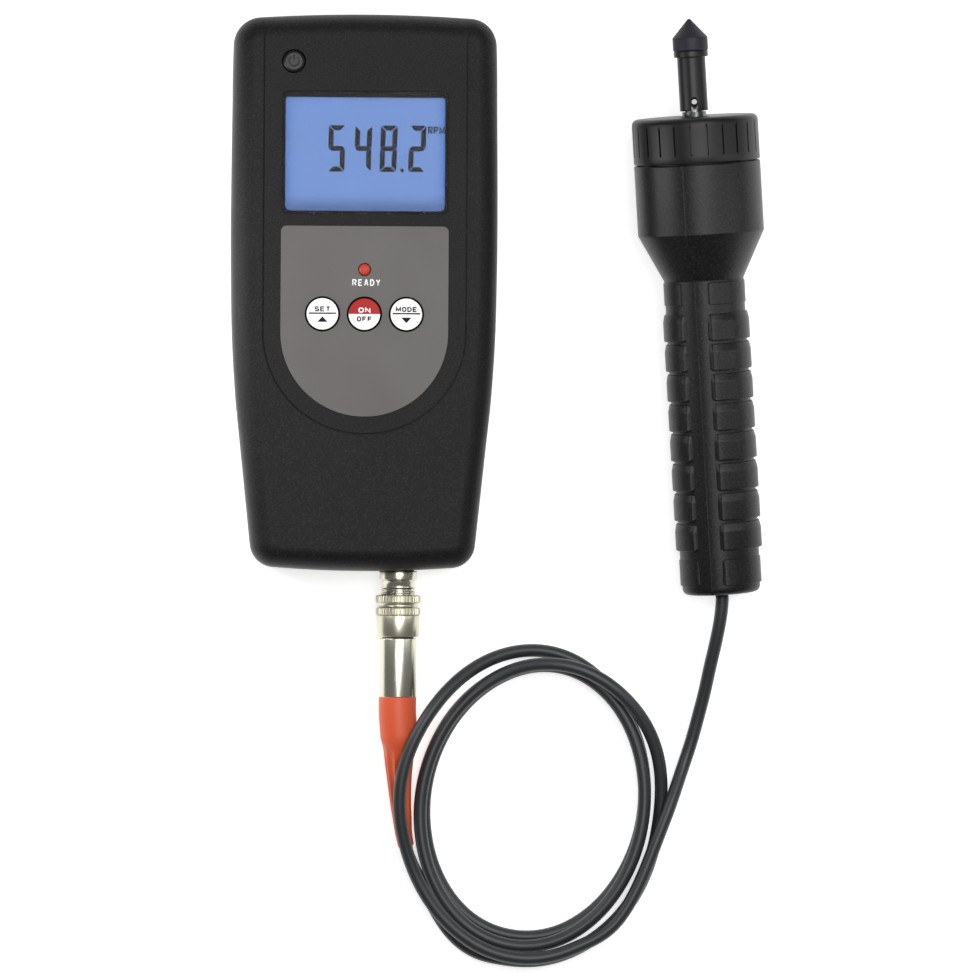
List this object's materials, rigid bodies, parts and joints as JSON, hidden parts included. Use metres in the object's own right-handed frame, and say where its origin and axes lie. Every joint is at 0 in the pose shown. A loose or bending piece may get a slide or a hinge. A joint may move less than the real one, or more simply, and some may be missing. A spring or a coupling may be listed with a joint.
{
  "type": "contact tachometer",
  "caption": "Hand-held contact tachometer with a backlit display, round keys, a screw-locked plug, a coiled cord and a ribbed probe with a rubber cone tip",
  "frame": {"origin": "middle of the flat back face of the meter, which rests on the table", "axes": "+X to the right of the display, +Y towards the top of the display, +Z out of the front face towards the reader"},
  "size_m": [0.1421, 0.2536, 0.0354],
  "materials": {
    "case_plastic": "fine grained, moulded",
    "probe_plastic": "satin, moulded",
    "clear_window": "clear, polished",
    "lcd_glass": "backlit blue display glass",
    "backlight_plastic": "milky light guide",
    "overlay_film": "printed satin film",
    "lamp_red": "tinted lens",
    "board_green": "solder mask on glass fibre",
    "switch_plastic": "moulded",
    "key_white": "satin, moulded",
    "key_red": "satin, moulded",
    "key_black": "satin, moulded",
    "cell_wrap": "printed wrap",
    "nickel_contact": "plated steel",
    "screw_steel": "zinc plated or turned",
    "plated_brass": "nickel plated, turned",
    "boot_rubber": "smooth, moulded",
    "cord_rubber": "satin sheath",
    "emitter_epoxy": "clear epoxy",
    "receiver_epoxy": "dark epoxy",
    "filter_window": "tinted, clear",
    "spacer_alloy": "turned",
    "sleeve_plastic": "turned",
    "tip_rubber": "moulded"
  },
  "bodies": {
    "meter": {"front_shell": "case_plastic", "back_shell": "case_plastic", "display_window": "clear_window", "display_frame": "case_plastic", "display_glass": "lcd_glass", "display_backlight": "backlight_plastic", "overlay_plate": "overlay_film", "signal_lamp": "lamp_red", "main_board": "board_green", "key_switches": "switch_plastic", "battery_cells": "cell_wrap", "battery_contacts": "nickel_contact", "case_screws": "screw_steel", "board_screws": "screw_steel", "socket_body": "plated_brass", "socket_nut": "plated_brass", "socket_insert": "switch_plastic"},
    "function_key": {"function_key": "key_white"},
    "measure_key": {"measure_key": "key_red"},
    "memory_key": {"memory_key": "key_white"},
    "standby_key": {"standby_key": "key_black"},
    "battery_door": {"battery_door": "case_plastic"},
    "coupling_ring": {"coupling_ring": "plated_brass"},
    "probe_set": {"plug_shell": "plated_brass", "plug_insert": "switch_plastic", "plug_boot": "boot_rubber", "cord_short_lead": "cord_rubber", "cord_coil": "cord_rubber", "cord_probe_lead": "cord_rubber", "probe_shell_left": "probe_plastic", "probe_shell_right": "probe_plastic", "probe_board": "board_green", "sensor_board": "board_green", "light_source": "emitter_epoxy", "light_receiver": "receiver_epoxy", "sensor_window": "filter_window", "probe_screws": "screw_steel", "cord_grommet": "cord_rubber"},
    "contact_adapter": {"adapter_cap": "probe_plastic", "bearing_rear": "nickel_contact", "bearing_front": "nickel_contact", "bearing_spacer": "spacer_alloy"},
    "spindle": {"spindle_shaft": "screw_steel", "chopper_disc": "probe_plastic", "disc_screw": "screw_steel", "drive_pin": "nickel_contact"},
    "cone_tip": {"tip_sleeve": "sleeve_plastic", "rubber_tip": "tip_rubber"}
  },
  "joints": [
    {"name": "function_key_press", "type": "slide", "parent": "meter", "child": "function_key", "axis": [0, 0, -1], "range_m": [0, 0.0006], "stiffness_N_per_m": 900, "springref_m": -0.0008},
    {"name": "measure_key_press", "type": "slide", "parent": "meter", "child": "measure_key", "axis": [0, 0, -1], "range_m": [0, 0.0006], "stiffness_N_per_m": 900, "springref_m": -0.0008},
    {"name": "memory_key_press", "type": "slide", "parent": "meter", "child": "memory_key", "axis": [0, 0, -1], "range_m": [0, 0.0006], "stiffness_N_per_m": 900, "springref_m": -0.0008},
    {"name": "standby_key_press", "type": "slide", "parent": "meter", "child": "standby_key", "axis": [0, 0, -1], "range_m": [0, 0.0006], "stiffness_N_per_m": 900, "springref_m": -0.0008},
    {"name": "battery_door_slide", "type": "slide", "parent": "meter", "child": "battery_door", "axis": [0, -1, 0], "range_m": [0, 0.012]},
    {"name": "plug_pull", "type": "slide", "parent": "meter", "child": "probe_set", "axis": [0, -1, 0], "range_m": [0, 0.02]},
    {"name": "ring_turn", "type": "hinge", "parent": "probe_set", "child": "coupling_ring", "pos_m": [0.0097, -0.086, 0.0088], "axis": [0, 1, 0], "continuous": true},
    {"name": "adapter_pull", "type": "slide", "parent": "probe_set", "child": "contact_adapter", "axis": [-0.0661, 0.9958, 0.063], "range_m": [0, 0.016]},
    {"name": "spindle_spin", "type": "hinge", "parent": "contact_adapter", "child": "spindle", "pos_m": [0.08806, 0.0402, 0.01828], "axis": [-0.0661, 0.9958, 0.063], "continuous": true},
    {"name": "tip_pull", "type": "slide", "parent": "spindle", "child": "cone_tip", "axis": [-0.0661, 0.9958, 0.063], "range_m": [0, 0.015]}
  ]
}
